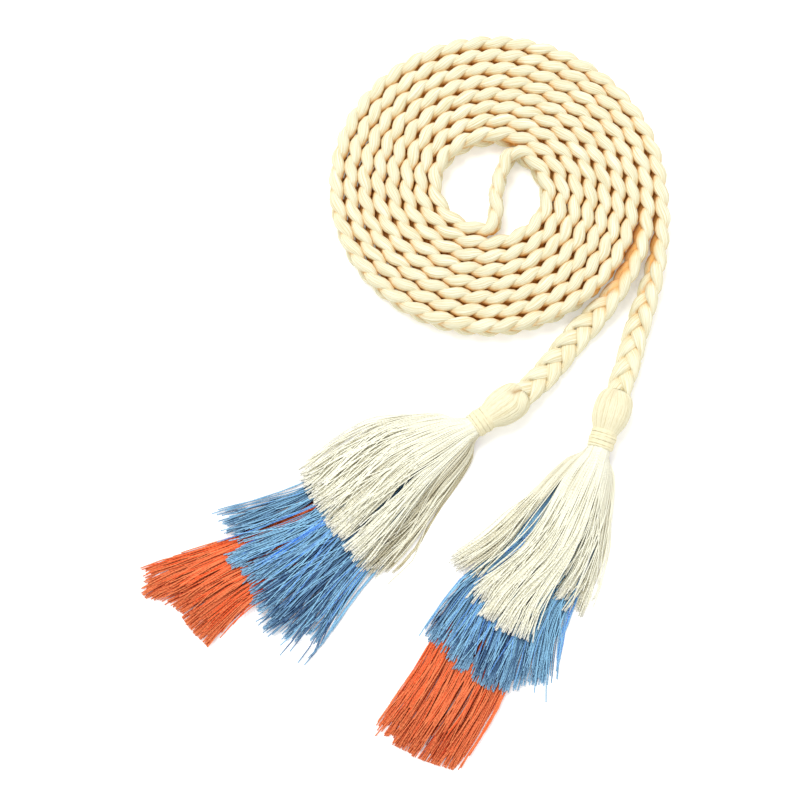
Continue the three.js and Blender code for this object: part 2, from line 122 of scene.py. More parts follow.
# %% A smooth curve through a table's rows
def smooth(knots, values, at):
    """Values at any places of a table, on a smooth curve through its rows."""
    knots, values = np.asarray(knots, float), np.asarray(values, float)
    ends = np.arange(len(knots))
    before, after = np.maximum(ends - 1, 0), np.minimum(ends + 1, len(knots) - 1)
    wide = (knots[after] - knots[before]).reshape(-1, *[1] * (values.ndim - 1))
    slopes = (values[after] - values[before]) / wide
    k = np.clip(np.searchsorted(knots, at, side="right") - 1, 0, len(knots) - 2)
    span = knots[k + 1] - knots[k]
    t = np.clip((at - knots[k]) / span, 0, 1)
    if values.ndim > 1:
        t, span = t[:, None], span[:, None]
    return (
        (2 * t**3 - 3 * t**2 + 1) * values[k] + (t**3 - 2 * t**2 + t) * span * slopes[k]
        + (3 * t**2 - 2 * t**3) * values[k + 1] + (t**3 - t**2) * span * slopes[k + 1]
    )


def eased(x, start, stop):
    """From 0 to 1 between two values, with a soft start and stop."""
    t = np.clip((x - start) / (stop - start), 0, 1)
    return t * t * (3 - 2 * t)


def steps_along(points):
    """Distances along a line of points, from its first one."""
    return np.concatenate(([0], np.cumsum(np.linalg.norm(np.diff(points, axis=0), axis=1))))


# %% Height of the rolled braid
BRAID_CORNER = 0.6  # how square the braid's oval section is, from 0 to 1


def under(roll, share):
    """How far the rolled braid reaches under its own middle."""
    turn = np.radians(np.abs(roll))
    half_width, half_thick = BRAID_WIDTH / 2 * share, BRAID_THICKNESS / 2
    edge = half_width * np.cos(turn) + BRAID_CORNER * half_thick * np.sin(turn)
    face = BRAID_CORNER * half_width * np.cos(turn) + half_thick * np.sin(turn)
    return np.maximum(edge, face)


# %% Rows of the course: x, y, roll, rise and width share
def standing(points):
    """Rows for a stretch that stands on its edge on the table."""
    return np.column_stack((points, np.zeros((len(points), 2)), np.ones(len(points))))


def arm(half_turns, side):
    """One arm of the double spiral, from the middle outwards. The other one is turned half round."""
    h = np.linspace(0, half_turns, POINTS_PER_HALF_TURN * half_turns + 1)
    across, down = COIL_INNER[0] + COIL_PITCH * h, COIL_INNER[1] + COIL_PITCH * h
    turn = math.pi * (1 - h)
    x = COIL_CENTRE_X + side * across * np.cos(turn)
    return standing(np.column_stack((x, side * down * np.sin(turn))))


def heading_of(side):
    """The direction in which a tassel points away from the coil."""
    return np.array((math.cos(HEADINGS[side]), math.sin(HEADINGS[side])))


def tail(arm_end, route, side, sign):
    """Rows of a tail, and then its end inside the head."""
    climb = HEAD_RADIUS - under(route[-1, 2], route[-1, 4])
    rows = route * (MM, MM, sign, climb, 1)
    rows[:, :2] += arm_end[:2]
    end = rows[-1].copy()
    end[:2] += heading_of(side) * SOCKET
    return np.vstack((rows, end))


left_arm, right_arm = arm(HALF_TURNS["left"], 1), arm(HALF_TURNS["right"], -1)
left_tail = tail(left_arm[-1], LEFT_TAIL_ROUTE, "left", -1)
right_tail = tail(right_arm[-1], RIGHT_TAIL_ROUTE, "right", 1)
rows = np.vstack((left_tail[::-1], left_arm[::-1], standing(BAR_ROUTE), right_arm, right_tail))
print("rows of the course:", len(rows))

# %% The course at even steps
PLAIT_LENGTH = 17.6 * MM
TAIL_PLAIT = 1.06  # a plait in the tails, as a share of one in the coil
STATIONS_PER_PLAIT = 16
FINE_STEPS = 9000

knots = steps_along(rows[:, :2])
fine = smooth(knots, rows, np.linspace(0, knots[-1], FINE_STEPS))
fine_xyz = np.column_stack((fine[:, :2], under(fine[:, 2], fine[:, 4]) + fine[:, 3]))
run = steps_along(fine_xyz)
braid_length = run[-1]
along = np.linspace(0, braid_length, round(braid_length / PLAIT_LENGTH * STATIONS_PER_PLAIT) + 1)
centre = np.column_stack([np.interp(along, run, fine_xyz[:, i]) for i in range(3)])
roll = np.radians(np.interp(along, run, fine[:, 2]))
share = np.interp(along, run, fine[:, 4])


def unit(vectors):
    """Vectors of the same directions, each one long."""
    return vectors / np.linalg.norm(vectors, axis=-1, keepdims=True)


UP = np.array((0, 0, 1.0))
onward = unit(np.gradient(centre, axis=0))
leftward = unit(np.cross(UP, onward))
thin = leftward * np.cos(roll)[:, None] - UP * np.sin(roll)[:, None]
wide = UP * np.cos(roll)[:, None] + leftward * np.sin(roll)[:, None]
print(f"braid {braid_length:.3f} m long, {len(along)} stations")

# %% [markdown]
# ## Tubes from grids
# Strands, yarns and threads are all long thin tubes. A tube starts as a flat grid, because Blender
# makes one with its UV map already on it: U runs along the tube and V round it. The grid's points are
# then carried to their rings, the seam is welded and the two ends are filled. Hundreds of threads
# made this way are one mesh, which keeps the scene light. Two attributes ride on its points for the
# materials: the tone of each tube, which for the threads also holds painted light and shade, and how
# deep between its neighbours a point lies, which says where shade is painted.


# %% Roll grids up into tubes
def tubes(name, rings, tones, slot, *nodes, deep=None):
    """One piece of closed tubes. rings holds points by tube, station, place around and x y z."""
    count, stations, around, _ = rings.shape
    bm = bmesh.new()
    bm.loops.layers.uv.new("UVMap")
    bmesh.ops.create_grid(bm, x_segments=stations - 1, y_segments=around, size=1, calc_uvs=True)
    mesh = bpy.data.meshes.new(name)
    bm.to_mesh(mesh)
    for _ in range(count - 1):
        bm.from_mesh(mesh)
    bm.to_mesh(mesh)
    bm.free()
    flat = np.empty(len(mesh.vertices) * 3)
    mesh.vertices.foreach_get("co", flat)
    # a grid spans -1 to 1 both ways, so a point's place in it tells its station and its place around
    grid = flat.reshape(count, -1, 3)
    station = np.rint((grid[..., 0] + 1) / 2 * (stations - 1)).astype(int)
    place = np.rint((grid[..., 1] + 1) / 2 * around).astype(int) % around
    points = rings[np.arange(count)[:, None], station, place]
    mesh.vertices.foreach_set("co", points.ravel())
    tone = mesh.attributes.new("tone", "FLOAT", "POINT")
    tone.data.foreach_set("value", np.repeat(tones, grid.shape[1]).astype(np.float32))
    if deep is not None:
        depth = mesh.attributes.new("deep", "FLOAT", "POINT")
        at_points = deep[np.arange(count)[:, None], station, place]
        depth.data.foreach_set("value", at_points.ravel().astype(np.float32))
    return closed(name, mesh, slot, *nodes)


# %% Close a mesh and hang it in the frame
WELD = 1e-7


def closed(name, mesh, slot, *nodes):
    """Welds the seams of a mesh, fills its open ends flat and turns its faces outwards."""
    bm = bmesh.new()
    bm.from_mesh(mesh)
    bmesh.ops.remove_doubles(bm, verts=bm.verts, dist=WELD)
    for face in bm.faces:
        face.smooth = True
    ends = bmesh.ops.holes_fill(bm, edges=[e for e in bm.edges if e.is_boundary], sides=0)
    for face in ends["faces"]:
        face.smooth = False
    bmesh.ops.recalc_face_normals(bm, faces=bm.faces)
    bm.to_mesh(mesh)
    triangles = sum(len(f.verts) - 2 for f in bm.faces)
    bm.free()
    piece = bpy.data.objects.new(name, mesh)
    bpy.context.scene.collection.objects.link(piece)
    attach(piece, "root")
    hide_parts(*nodes)
    print(f"{name}: {triangles} triangles")
    return piece


# %% [markdown]
# ## The braid
# Three strands are plaited. Seen along the braid, each strand goes round a flat figure of eight: it
# swings from edge to edge once a plait, and from face to face twice. One sine for each of the two
# swings gives that path. A strand is a soft bundle of yarns, so its section is a flat oval that turns
# with the path: it lies flat on the faces and faces outwards where it rounds an edge. Twelve shallow
# ridges round it are its yarns, and they twist slowly along it. Pressed between its neighbours in the
# coil a strand is rounder than it is in the tails, so most sizes here come as a pair: for the braid on
# its edge and for the braid on its flat side.

# %% Paths of the three strands
PLAIT_REACH = (2.2 * MM, 2.5 * MM)  # from edge to edge
PLAIT_SQUARENESS = (0.1, -0.08)  # how long a strand stays at an edge
PLAIT_LIFT = (0.74 * MM, 0.86 * MM)  # from face to face

lying = np.sin(roll) ** 2


def by_lie(pair):
    """A value for every station, between the one for the edge and the one for the flat side."""
    return pair[0] + (pair[1] - pair[0]) * lying


plaits = np.cumsum(np.gradient(along) / (PLAIT_LENGTH * by_lie((1, TAIL_PLAIT))))
phase = 2 * math.pi * (plaits[None] + np.arange(3)[:, None] / 3)
square = by_lie(PLAIT_SQUARENESS)
swing = by_lie(PLAIT_REACH) * share * (np.sin(phase) + square * np.sin(3 * phase)) / (1 - square)
lift = -by_lie(PLAIT_LIFT) * np.sin(2 * phase)
strand = centre + wide * swing[..., None] + thin * lift[..., None]
strand_way = unit(np.gradient(strand, axis=1))
print("strands:", strand.shape)

# %% Sections of the strands
STRAND_HALF_WIDTH = (1.63 * MM, 1.95 * MM)
STRAND_HALF_THICKNESS = (1.08 * MM, 0.86 * MM)
EDGE_HALF_WIDTH = (1.58 * MM, 1.55 * MM)
EDGE_HALF_THICKNESS = (1.27 * MM, 0.95 * MM)
YARNS = 12
YARN_TWIST = 120 * MM
YARN_DEPTH = 0.022
QUICK_TURN = 0.9  # below 1, a strand turns over faster at an edge than its path does

soft_turn = np.cos(phase)
quick_turn = np.sin(math.pi / 2 * np.clip(np.cos(phase) / QUICK_TURN, -1, 1))
facing = math.pi / 2 * (1 + soft_turn + (quick_turn - soft_turn) * lying)
short = thin * np.cos(facing)[..., None] + wide * np.sin(facing)[..., None]
short = unit(short - strand_way * np.sum(short * strand_way, axis=-1, keepdims=True))
long = np.cross(strand_way, short)
at_edge = np.sin(phase) ** 2
face_wide, face_thick = by_lie(STRAND_HALF_WIDTH), by_lie(STRAND_HALF_THICKNESS)
half_width = face_wide + (by_lie(EDGE_HALF_WIDTH) - face_wide) * at_edge
half_thick = face_thick + (by_lie(EDGE_HALF_THICKNESS) - face_thick) * at_edge
places = np.arange(2 * YARNS)
angle = 2 * math.pi * (places / len(places) + (along / YARN_TWIST)[:, None]) + facing[..., None]
ridge = np.where(places % 2 == 0, 1 - YARN_DEPTH, 1 + YARN_DEPTH)
rings = (
    strand[:, :, None]
    + long[:, :, None] * (half_width[..., None] * ridge * np.cos(angle))[..., None]
    + short[:, :, None] * (half_thick[..., None] * ridge * np.sin(angle))[..., None]
)
rings[..., 2] = np.maximum(rings[..., 2], 0)

# %% How free each face of the braid is
# A face of the braid that has the next turn of the coil against it is deep as well, and so is painted
# in shade
FREE_FROM, FREE_TO = 1 * MM, 3 * MM
NOWHERE = 1.0

flat_thin = (thin * (1, 1, 0))[:, None] * np.array((-1, 1))[:, None]
probes = centre[:, None] + flat_thin * COIL_PITCH
reach = np.linalg.norm((probes[:, :, None] - centre)[..., :2], axis=-1)
far_apart = np.abs(np.arange(len(along))[:, None] - np.arange(len(along))) > STATIONS_PER_PLAIT
nearest = np.min(np.where(far_apart[:, None], reach, NOWHERE), axis=-1)
free = eased(nearest, FREE_FROM, FREE_TO)
print(f"share of the faces that is free: {free.mean():.2f}")

# %% How deep in the braid each point lies
# The depth is the mask of the painted shade: the braid's cotton is painted brown where it lies deep
DEEPEST, SHALLOWEST = 0.35, 0.95
OPENED_FLAT = 0.8  # how much of the depth goes where the braid lies on its flat side

off = rings - centre[None, :, None]
high = np.abs(np.sum(off * wide[None, :, None], axis=-1)) / (BRAID_WIDTH / 2)
outward = np.sum(off * thin[None, :, None], axis=-1) / (BRAID_THICKNESS / 2)
bare = np.where(outward < 0, free[:, 0, None], free[:, 1, None])
deep = 1 - eased(np.maximum(high, np.abs(outward) * bare), DEEPEST, SHALLOWEST)
deep *= 1 - OPENED_FLAT * lying[None, :, None]
print(f"mean depth of the points: {deep.mean():.2f}")

# %% Make the braid
braid = tubes("braid", rings, np.arange(3) / 3, "braid_cotton",
              "braid_coil", "braid_tail_left", "braid_tail_right", deep=deep)

# %% [markdown]
# ## Where the threads go
# Below its binding a tassel is a flat fan of threads that lies on the table. Tables give the fan's
# half width, the drift of its middle and its height at shares of its length. Each tier of thread
# fills one layer of that fan, and its ends gather into locks with a gap between them. A thread is
# then no more than a share across the fan, a depth in its layer and a length.

# %% Tables of the two fans, as shares of the longest tier
CREAM_DROP, BLUE_DROP, ORANGE_DROP = 46, 69, 89
FAN_AT = (0.03, 0.1, 0.23, 0.36, 0.52, 0.78, 1)
FAN_HEIGHT = (0.85, 0.9, 0.81, 0.68, 0.57, 0.45, 0.38)
FAN_ROUND = 0.75  # how much lower the fan is at its sides
FAN_HALF = {
    "left": (0.042, 0.093, 0.148, 0.18, 0.194, 0.281, 0.303),
    "right": (0.042, 0.081, 0.125, 0.158, 0.207, 0.247, 0.247),
}
FAN_MIDDLE = {
    "left": (0, -0.008, -0.011, 0.008, 0.033, 0.043, 0.011),
    "right": (0, -0.006, -0.024, -0.053, -0.112, -0.134, -0.185),
}

# %% Tables of the tiers
# A tier's floor and top are each a height and a width, as shares of the fan's. Split is where its
# locks begin to part, and lift is how far in millimetres its top stays under the next tier. Sides are
# how far a tier reaches to the right and left at shares of its length. Locks give where each lock
# starts and ends across the tier, and the lengths of its right and left ends.
TIERS = {
    "cream": {"drop": CREAM_DROP, "floor": (0.83, 0.8), "top": (1, 1), "split": 0.46, "lift": 0},
    "blue": {"drop": BLUE_DROP, "floor": (0.58, 0.6), "top": (0.83, 0.8), "split": 0.6, "lift": 0.4},
    "orange": {"drop": ORANGE_DROP, "floor": (0, 1), "top": (0.58, 0.6), "split": 0.66, "lift": 0.4},
}
SIDES = {
    ("left", "cream"): ((0, 1), (-1, -1), (1, 1)),
    ("left", "blue"): ((0, 0.65, 1), (-0.74, -0.76, -0.78), (0.74, 0.76, 0.78)),
    ("left", "orange"): ((0, 0.5, 0.79, 1), (-0.5, -0.54, -0.56, -0.59), (0.5, 0.28, 0.1, 0.33)),
    ("right", "cream"): ((0, 1), (-1, -1), (1, 1)),
    ("right", "blue"): ((0, 0.65, 1), (-0.74, -0.58, -0.68), (0.74, 0.8, 0.86)),
    ("right", "orange"): ((0, 0.7, 1), (-0.5, -0.54, -0.57), (0.5, 0.36, 0.36)),
}
LOCKS = {
    ("left", "cream"): ((0, 0.19, 0.97, 1.01), (0.21, 0.4, 0.99, 1.01), (0.42, 0.6, 1.01, 0.98),
                        (0.65, 0.78, 1.0, 0.96), (0.8, 1, 1.0, 0.86)),
    ("left", "blue"): ((0.02, 0.13, 1, 0.96), (0.24, 0.36, 1.04, 1.03), (0.37, 0.5, 1.02, 1),
                       (0.52, 0.66, 1.02, 1.05), (0.68, 0.84, 1.07, 1), (0.86, 1, 0.97, 0.92)),
    ("left", "orange"): ((0, 0.19, 1, 1.05), (0.21, 0.4, 1.05, 1.01), (0.42, 0.6, 1, 0.98),
                         (0.62, 0.8, 0.99, 0.985), (0.82, 1, 0.985, 0.97)),
    ("right", "cream"): ((0, 0.15, 0.86, 0.94), (0.27, 0.42, 1.01, 1.1), (0.44, 0.58, 1.11, 1.13),
                         (0.6, 0.72, 1.16, 1.15), (0.76, 1, 0.84, 0.94)),
    ("right", "blue"): ((0, 0.2, 0.865, 0.91), (0.22, 0.42, 0.92, 0.955), (0.44, 0.6, 0.96, 0.975),
                        (0.62, 0.8, 0.965, 0.94), (0.82, 1, 0.92, 0.87)),
    ("right", "orange"): ((0, 0.24, 0.945, 0.975), (0.26, 0.5, 0.98, 0.985), (0.52, 0.76, 0.99, 0.99),
                          (0.78, 1, 0.99, 0.985)),
}

# %% How far each lock lies above its layer in millimetres, and how much lighter it is painted: painted light, or painted shade where below zero
LIFTS = {("left", "cream"): (0, 0, 0.2, 1.5, -0.9), ("right", "cream"): (0, 0, 0.5, 1, -0.2)}
PAINTED_LOCK_LIGHT = {
    ("left", "cream"): (0.1, 0, 0, 0.3, -0.5),
    ("left", "blue"): (-0.05, 0.1, 0.15, -0.35, -0.45, -0.1),
    ("left", "orange"): (0.15, 0, 0, 0, 0.1),
    ("right", "cream"): (-0.1, 0.05, 0.1, 0.3, 0),
    ("right", "blue"): (0.1, 0, -0.35, 0.05, -0.15),
    ("right", "orange"): (0, 0, 0, 0.1),
}


# %% Height of a layer over the table
def fan(side, x):
    """The half width and the middle of a fan at distances from its binding, in millimetres."""
    half = smooth(FAN_AT, FAN_HALF[side], x / ORANGE_DROP) * ORANGE_DROP
    return half, smooth(FAN_AT, FAN_MIDDLE[side], x / ORANGE_DROP) * ORANGE_DROP


def dome(side, x, y, height, width):
    """Height over the table of a dome inside the fan, whose size is a share of the fan's."""
    half, middle = fan(side, x)
    off = (y - middle) / (half * width)
    full = 2 * HEAD_RADIUS / MM * smooth(FAN_AT, FAN_HEIGHT, x / ORANGE_DROP)
    return full * height * (1 - FAN_ROUND * off**2)


# %% [markdown]
# ## Paths of loose threads
# Real threads are never parallel. They cling to their neighbours in wisps, wave a little, end at
# slightly different lengths, and a few stray across the rest. Each of these is a small seeded random
# term that grows towards the tip, because the binding holds the other end still. A thread's tone is
# worked out along with its path, because part of it is painted shade and light: threads that lie deep
# in a tier are painted darker, as painted shade, and wisps that lie high and strays on top lighter.

# %% Where each thread starts and ends
LAYER_START, LAYER_SPREAD = 0.3, 0.7
LOW_THREADS = 1.5  # above 1, more threads lie low in their tier than high
MEAN_LENGTH, LENGTH_SPREAD, LONGEST = 0.985, 0.03, 0.6
SHORT_ONES = {"cream": 0.12, "blue": 0.12, "orange": 0.05}  # the share of threads that end early
SHORT_BY = 0.22


def thread_ends(side, colour, count, layers, random):
    """Each thread's place at the neck and at its tip, its depth, its lock and its length."""
    rank = (np.arange(count) * layers % count + random.random(count)) / count
    depth = np.arange(count) * layers // count + LAYER_START + LAYER_SPREAD * random.random(count)
    depth = (depth / layers) ** LOW_THREADS
    starts, ends, right_length, left_length = np.array(LOCKS[side, colour]).T
    room = np.concatenate(([0], np.cumsum(ends - starts)))
    lock = np.clip(np.searchsorted(room, rank * room[-1], side="right") - 1, 0, len(starts) - 1)
    inside = (rank * room[-1] - room[lock]) / (room[lock + 1] - room[lock])
    tip = starts[lock] + inside * (ends - starts)[lock]
    length = right_length[lock] + inside * (left_length - right_length)[lock]
    uneven = np.minimum(random.standard_normal(count), LONGEST)
    length *= TIERS[colour]["drop"] * (MEAN_LENGTH + LENGTH_SPREAD * uneven)
    early = random.random(count) < SHORT_ONES[colour]
    length *= np.where(early, 1 - SHORT_BY * random.random(count), 1)
    return rank, tip, depth, lock, length


# %% Wisps that cling together
WISP = 0.045  # the width of a wisp, as a share of its tier
WISP_MIXING = 0.35  # how often a thread joins the wisp beside its own
SPARE_WISPS = 2  # for threads that join one past either side
CLING = {"cream": (0.45, 0.95), "blue": (0.4, 0.9), "orange": (0.1, 0.5)}
SWAY = {"cream": 0.045, "blue": 0.035, "orange": 0.03}
WISP_TONE = {"cream": 0.1, "blue": 0.34, "orange": 0.18}


def wisps_of(tip, colour, random):
    """For each thread the middle of its wisp, and that wisp's cling, sway, height and tone."""
    mixed = tip / WISP + WISP_MIXING * random.standard_normal(len(tip))
    wisp = np.floor(mixed).astype(int) + SPARE_WISPS
    wisps = wisp.max() + 1 + SPARE_WISPS
    cling = random.uniform(*CLING[colour], wisps)[wisp]
    sway = random.normal(0, SWAY[colour], wisps)[wisp]
    above = random.uniform(0, 1, wisps)[wisp]
    tone = random.uniform(-1, 1, wisps)[wisp] * WISP_TONE[colour]
    return (wisp - SPARE_WISPS + 0.5) * WISP, cling, sway, above, tone


# %% Numbers for paths and tones
THREAD_STATIONS = 18
STATION_EASE = 1.1  # above 1, stations lie closer together near the neck
UNDER_BINDING = 1  # how far inside the binding cream threads start
NECK_END = 3.2  # where the other threads start
NECK_TO_FAN, NECK_SOFTNESS = 7, 1.5
NECK_RADII = {"cream": (2.3, 2.8), "blue": (1.2, 2.3), "orange": (0.1, 1.2)}
NECK_FROM, NECK_ROUND = math.radians(215), math.radians(250)
SPLIT_FROM, SPLIT_SOFTNESS = 0.2, 6  # where locks begin to part, and over how many mm
OWN_DEPTH, WISP_DEPTH = 0.65, 0.35
CROSSING = {"cream": 0.03, "blue": 0.03, "orange": 0.02}  # how far threads cross the next ones
STRAYS = {"cream": 0.14, "blue": 0.2, "orange": 0.16}  # the share of threads that lie loose on top
STRAY_REACH = {"cream": 0.11, "blue": 0.2, "orange": 0.16}
STRAY_LENGTH = 0.9
DRIFT_SPAN, RISE_SPAN = (0.25, 1.1), (0.3, 0.7)  # where along it a stray drifts and rises
CLING_GROWTH, SWAY_GROWTH, CROSSING_GROWTH = 1.5, 2.5, 3  # powers of the way to the tip
SPILL, STRAY_SPILL = 0.03, 0.04  # how far threads reach past the sides of their tier
WAVE_LENGTHS, WAVE_ASIDE, WAVE_UP = (14, 34), 0.3, 0.15
THINNEST_LAYER = 0.3
STRAY_RISE = 0.3
TONE_BASE = {"cream": 0.53, "blue": 0.08, "orange": 0.14}
TONE_SPREAD = {"cream": 0.5, "blue": 0.28, "orange": 0.4}
# Painted shade and light in the tones: how much darker deep threads are painted, and how much lighter
# high wisps and strays on top
PAINTED_SHADE_BY_DEPTH = {"cream": 0.5, "blue": 0.9, "orange": 0.8}
PAINTED_LIGHT_ABOVE, PAINTED_LIGHT_STRAY = 0.1, 0.4


# %% Paths of one tier's threads
def thread_paths(side, colour, count, layers, random):
    """Points and tones of a tier's threads, in the tassel's own millimetres: x along, y left, z up."""
    tier = TIERS[colour]
    drop = tier["drop"]
    rank, tip, depth, lock, length = thread_ends(side, colour, count, layers, random)
    gathered, cling, sway, above, wisp_tone = wisps_of(tip, colour, random)
    depth = OWN_DEPTH * depth + WISP_DEPTH * above
    strays = random.random(count) < STRAYS[colour]
    stray = np.where(strays, random.normal(0, STRAY_REACH[colour], count), 0)
    length *= np.where(strays, random.uniform(STRAY_LENGTH, 1, count), 1)

    # across the tier, as a share of its width
    t = np.linspace(0, 1, THREAD_STATIONS)[None] ** STATION_EASE
    start = -BINDING_LENGTH / MM / 2 + UNDER_BINDING if colour == "cream" else NECK_END
    x = start + (length[:, None] - start) * t
    apart = eased(x, SPLIT_FROM * drop, tier["split"] * drop + SPLIT_SOFTNESS)
    across = rank[:, None] + (tip - rank)[:, None] * apart
    across += (cling * (gathered - tip))[:, None] * t**CLING_GROWTH + sway[:, None] * t**SWAY_GROWTH
    across += stray[:, None] * eased(t, *DRIFT_SPAN)
    across += (CROSSING[colour] * random.standard_normal(count))[:, None] * t**CROSSING_GROWTH
    loose = strays[:, None]
    across = np.clip(across, -SPILL * (1 + loose), 1 + SPILL + STRAY_SPILL * loose)

    # sideways in the fan and up in the layer, each with the thread's own wave
    at, right, left = SIDES[side, colour]
    reach = smooth(at, right, x / drop) * (1 - across) + smooth(at, left, x / drop) * across
    half, middle = fan(side, x)
    y = middle + half * reach
    wave = random.uniform(0, 2 * math.pi, (2, count, 1))
    curl = random.uniform(*WAVE_LENGTHS, (count, 1))
    y = y + WAVE_ASIDE * t * np.sin(2 * math.pi * x / curl + wave[0])
    floor = np.maximum(0, dome(side, x, y, *tier["floor"])) if tier["floor"][0] else 0 * x
    top = np.maximum(dome(side, x, y, *tier["top"]) - tier["lift"], floor + THINNEST_LAYER)
    z = floor + (top - floor) * depth[:, None]
    z = z + WAVE_UP * t * np.sin(2 * math.pi * x / curl + wave[1])
    lifted = np.array(LIFTS.get((side, colour), np.zeros(lock.max() + 1)))[lock]
    z = z + lifted[:, None] * apart + (top - z + STRAY_RISE) * (loose * eased(t, *RISE_SPAN))

    # out of the round neck and down into the fan
    near, far = NECK_RADII[colour]
    turn = NECK_FROM - NECK_ROUND * rank[:, None]
    radius = near + (far - near) * depth[:, None]
    out = eased(x, NECK_END - NECK_SOFTNESS, NECK_TO_FAN)
    y = y * out + radius * np.cos(turn) * (1 - out)
    z = z * out + (HEAD_RADIUS / MM + radius * np.sin(turn)) * (1 - out)

    # A random tone, then painted shade and light: deep threads darker, high wisps and strays on top
    # lighter, and some locks lighter or darker
    tones = TONE_BASE[colour] + TONE_SPREAD[colour] * random.random(count)
    tones = tones + PAINTED_LIGHT_ABOVE * above + wisp_tone + PAINTED_SHADE_BY_DEPTH[colour] * (depth - 0.5)
    tones = tones + np.array(PAINTED_LOCK_LIGHT[side, colour])[lock] + PAINTED_LIGHT_STRAY * strays
    return np.stack((x, y, z), axis=-1), np.clip(tones, 0, 1)


# %% Carry a tassel's own millimetres to its place
def binding_place(side, tail_rows):
    """The middle of a tassel's binding, seen from above."""
    head_start = tail_rows[-2, :2]
    return head_start + heading_of(side) * (HEAD_LENGTH + BINDING_LENGTH / 2)


PLACES = {"left": binding_place("left", left_tail), "right": binding_place("right", right_tail)}


def placed(side, points):
    """Points of a tassel, turned to its heading and moved to its binding, in metres."""
    c, s = heading_of(side)
    x, y, z = np.moveaxis(points, -1, 0) * MM
    return np.stack((PLACES[side][0] + c * x - s * y, PLACES[side][1] + s * x + c * y, z), axis=-1)


print("bindings at", {k: [round(v / MM, 1) for v in p] for k, p in PLACES.items()}, "mm")


# %% Rings round a path
NOT_QUITE_UP = UP + 0.01  # no path runs exactly along it


def rings_of(paths, radius, around):
    """Rings of even places round every point of some paths, the first place at the path's right."""
    way = unit(np.gradient(paths, axis=1))
    side = unit(np.cross(way, NOT_QUITE_UP))
    over = np.cross(side, way)
    turn = 2 * math.pi * np.arange(around) / around
    return paths[:, :, None] + radius * (
        side[:, :, None] * np.cos(turn)[:, None] + over[:, :, None] * np.sin(turn)[:, None])


# %% Make the threads
SEED = 4
THREAD_SIDES = 4
THREADS = {
    "cream": {"count": 560, "layers": 4, "radius": 0.15},
    "blue": {"count": 600, "layers": 4, "radius": 0.145},
    "orange": {"count": 520, "layers": 4, "radius": 0.15},
}
random = np.random.default_rng(SEED)
threads = {}
for side in ("left", "right"):
    for colour, look in THREADS.items():
        paths, tones = thread_paths(side, colour, look["count"], look["layers"], random)
        paths[..., 2] = np.maximum(paths[..., 2], look["radius"])
        rings = rings_of(placed(side, paths), look["radius"] * MM, THREAD_SIDES)
        outer = colour == "cream"
        node = f"{side}_tassel_cream" if outer else f"{side}_{colour}_threads"
        name = f"{side}_cream_skirt" if outer else f"{side}_{colour}_fringe"
        threads[side, colour] = tubes(name, rings, tones, f"{colour}_thread", node)

# %% [markdown]
# ## Heads
# The cream yarns are folded over the end of the braid, and the binding ties both halves of the fold
# together, so the fold puffs out into a rounded head with the yarns running lengthwise over it. Each
# head here is one ring of yarns, laid so close that they touch, on a profile that swells and closes
# round the braid. Near the braid the yarns part into two lobes, which leaves a groove on top, and the
# yarns in that groove are painted darker, as painted shade.

# %% Shape of a head
HEAD_ALONG = (0, 0.06, 0.18, 0.36, 0.5, 0.68, 0.84, 0.95, 1.1)
HEAD_SWELL = (0.5, 0.72, 0.9, 0.99, 1, 0.97, 0.88, 0.76, 0.62)
HEAD_FOLD, HEAD_STATIONS = (1.1, -0.12), 22  # from under the binding to inside the fold
HEAD_YARNS = 130
HEAD_TWIST = {"left": 0.55, "right": 0.15}
YARN_RADIUS = 0.2
YARN_UNEVEN = 0.05
YARN_WANDER = 0.014
YARN_WAVE, YARN_WAVES = 0.05, 3
YARN_SIDES = 6

# %% Groove between the lobes
GROOVE_DEPTH = {"left": 0.3, "right": 0.06}
GROOVE_PLACE, GROOVE_WIDTH = 1.95, 0.3
GROOVE_FADES = (0.42, 0.24)
# how strongly the groove is painted in shade
GROOVE_SHADE = 2.4
PARTING = 0.22  # how far the yarns draw apart to both sides near the braid
PARTING_SPAN = (0.45, 0.0)  # where along the head they begin to, and where they have done so
CLOSING, CLOSING_FROM = 0.25, 0.02  # how far the fold closes round the braid, and from where


# %% Yarns over a head
def head_paths(side, random):
    """Yarns over a head in millimetres, and how much painted shade the groove puts on each of their
    points.
    """
    t = np.linspace(*HEAD_FOLD, HEAD_STATIONS)[None]
    turn = 2 * math.pi * (np.arange(HEAD_YARNS) / HEAD_YARNS)[:, None]
    turn = turn + YARN_WANDER * random.standard_normal((HEAD_YARNS, 1))
    near = eased(t, *PARTING_SPAN)
    parted = turn + PARTING * near * np.sin(2 * turn)
    turn = parted + YARN_WAVE * np.sin(YARN_WAVES * t + turn) + HEAD_TWIST[side] * near
    closing = CLOSING * eased(t, CLOSING_FROM, HEAD_FOLD[1])
    swell = smooth(HEAD_ALONG, HEAD_SWELL, np.maximum(t, 0)) * (1 - closing)
    groove = np.exp(-((turn - GROOVE_PLACE) / GROOVE_WIDTH) ** 2) * eased(t, *GROOVE_FADES)
    radius = (HEAD_RADIUS / MM - YARN_RADIUS) * (swell - GROOVE_DEPTH[side] * groove)
    radius = radius - YARN_UNEVEN * random.random((HEAD_YARNS, 1))
    start = -BINDING_LENGTH / MM / 2 - HEAD_LENGTH / MM
    x = np.broadcast_to(start + np.abs(t) * HEAD_LENGTH / MM, radius.shape)
    points = np.stack((x, radius * np.cos(turn), HEAD_RADIUS / MM + radius * np.sin(turn)), axis=-1)
    return points, GROOVE_DEPTH[side] * GROOVE_SHADE * groove**2


# %% Make the heads
DARK_YARNS = 0.25
DARK_TONE, PALE_TONE, TONE_WIDTH = 0.15, 0.6, 0.35

